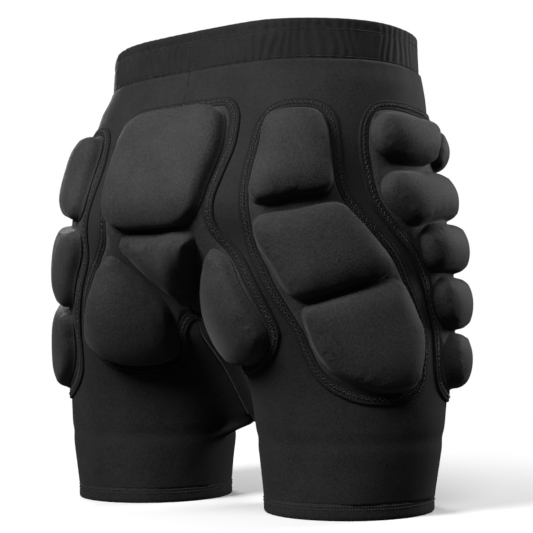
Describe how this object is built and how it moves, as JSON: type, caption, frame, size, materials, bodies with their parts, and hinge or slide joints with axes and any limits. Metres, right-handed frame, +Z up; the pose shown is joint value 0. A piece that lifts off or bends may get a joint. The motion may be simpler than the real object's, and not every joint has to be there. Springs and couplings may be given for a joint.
{
  "type": "padded impact shorts",
  "caption": "Close-fitting stretch shorts with moulded foam pads over the tailbone, seat, hips and front thighs, worn under ski clothing.",
  "frame": {"origin": "on the plane of symmetry, between the two leg openings, at the level of the leg hems", "axes": "+Z up, +Y towards the wearer's back, +X towards the wearer's left"},
  "size_m": [0.4086, 0.2838, 0.415],
  "materials": {
    "shell_fabric": "matte fine stretch knit",
    "cover_fabric": "matte brushed knit moulded over foam",
    "band_fabric": "matte knit casing, gathered",
    "liner": "open mesh knit",
    "seam": "overlocked and zigzag stitched",
    "foam": "closed-cell foam skin",
    "elastic": "ribbed elastic webbing",
    "cord": "round braid",
    "eyelet": "black lacquer"
  },
  "bodies": {
    "root": {"waistband_casing": "band_fabric", "waist_elastic": "elastic", "drawstring": "cord", "left_eyelet": "eyelet", "left_seat_panel": "shell_fabric", "left_crease_panel": "shell_fabric", "right_eyelet": "eyelet", "right_seat_panel": "shell_fabric", "right_crease_panel": "shell_fabric", "sacrum_foam": "foam", "tailbone_foam": "foam", "left_buttock_foam": "foam", "right_buttock_foam": "foam", "back_pad_cover": "cover_fabric", "back_pad_liner": "liner", "back_pad_seam": "seam", "left_hip_pad_cover": "cover_fabric", "left_hip_pad_liner": "liner", "left_hip_pad_seam": "seam", "left_hip_upper_foam": "foam", "left_hip_middle_foam": "foam", "left_thigh_pad_cover": "cover_fabric", "left_thigh_pad_liner": "liner", "left_thigh_pad_seam": "seam", "left_thigh_row_1_outer_foam": "foam", "left_thigh_row_1_inner_foam": "foam", "left_thigh_row_2_foam": "foam", "right_hip_pad_cover": "cover_fabric", "right_hip_pad_liner": "liner", "right_hip_pad_seam": "seam", "right_hip_upper_foam": "foam", "right_hip_middle_foam": "foam", "right_thigh_pad_cover": "cover_fabric", "right_thigh_pad_liner": "liner", "right_thigh_pad_seam": "seam", "right_thigh_row_1_outer_foam": "foam", "right_thigh_row_1_inner_foam": "foam", "right_thigh_row_2_foam": "foam"},
    "left_thigh": {"left_leg_panel": "shell_fabric", "left_hem": "shell_fabric", "left_hip_lower_foam": "foam", "left_thigh_row_3_foam": "foam", "left_thigh_row_4_foam": "foam", "left_thigh_row_5_foam": "foam"},
    "right_thigh": {"right_leg_panel": "shell_fabric", "right_hem": "shell_fabric", "right_hip_lower_foam": "foam", "right_thigh_row_3_foam": "foam", "right_thigh_row_4_foam": "foam", "right_thigh_row_5_foam": "foam"},
    "left_cord": {"left_cord_end": "cord"},
    "right_cord": {"right_cord_end": "cord"}
  },
  "joints": [
    {"name": "left_hip", "type": "hinge", "parent": "root", "child": "left_thigh", "pos_m": [0.105, -0.0334, 0.16], "axis": [-1, 0, 0], "range_deg": [-15, 40], "stiffness_Nm_per_rad": 2, "deforming": ["left_crease_panel", "left_hip_middle_foam", "left_hip_lower_foam", "left_hip_pad_cover", "left_hip_pad_liner", "left_hip_pad_seam", "left_thigh_row_2_foam", "left_thigh_row_3_foam", "left_thigh_row_4_foam", "left_thigh_row_5_foam", "left_thigh_pad_cover", "left_thigh_pad_liner", "left_thigh_pad_seam", "left_buttock_foam", "back_pad_cover", "back_pad_liner", "back_pad_seam"]},
    {"name": "right_hip", "type": "hinge", "parent": "root", "child": "right_thigh", "pos_m": [-0.105, -0.0334, 0.16], "axis": [-1, 0, 0], "range_deg": [-15, 40], "stiffness_Nm_per_rad": 2, "deforming": ["right_crease_panel", "right_hip_middle_foam", "right_hip_lower_foam", "right_hip_pad_cover", "right_hip_pad_liner", "right_hip_pad_seam", "right_thigh_row_2_foam", "right_thigh_row_3_foam", "right_thigh_row_4_foam", "right_thigh_row_5_foam", "right_thigh_pad_cover", "right_thigh_pad_liner", "right_thigh_pad_seam", "right_buttock_foam", "back_pad_cover", "back_pad_liner", "back_pad_seam"]},
    {"name": "left_cord_swing", "type": "hinge", "parent": "root", "child": "left_cord", "pos_m": [0.016, -0.1294, 0.398], "axis": [-1, 0, 0], "range_deg": [0, 80], "deforming": ["left_cord_end"]},
    {"name": "right_cord_swing", "type": "hinge", "parent": "root", "child": "right_cord", "pos_m": [-0.016, -0.1294, 0.398], "axis": [-1, 0, 0], "range_deg": [0, 80], "deforming": ["right_cord_end"]}
  ]
}
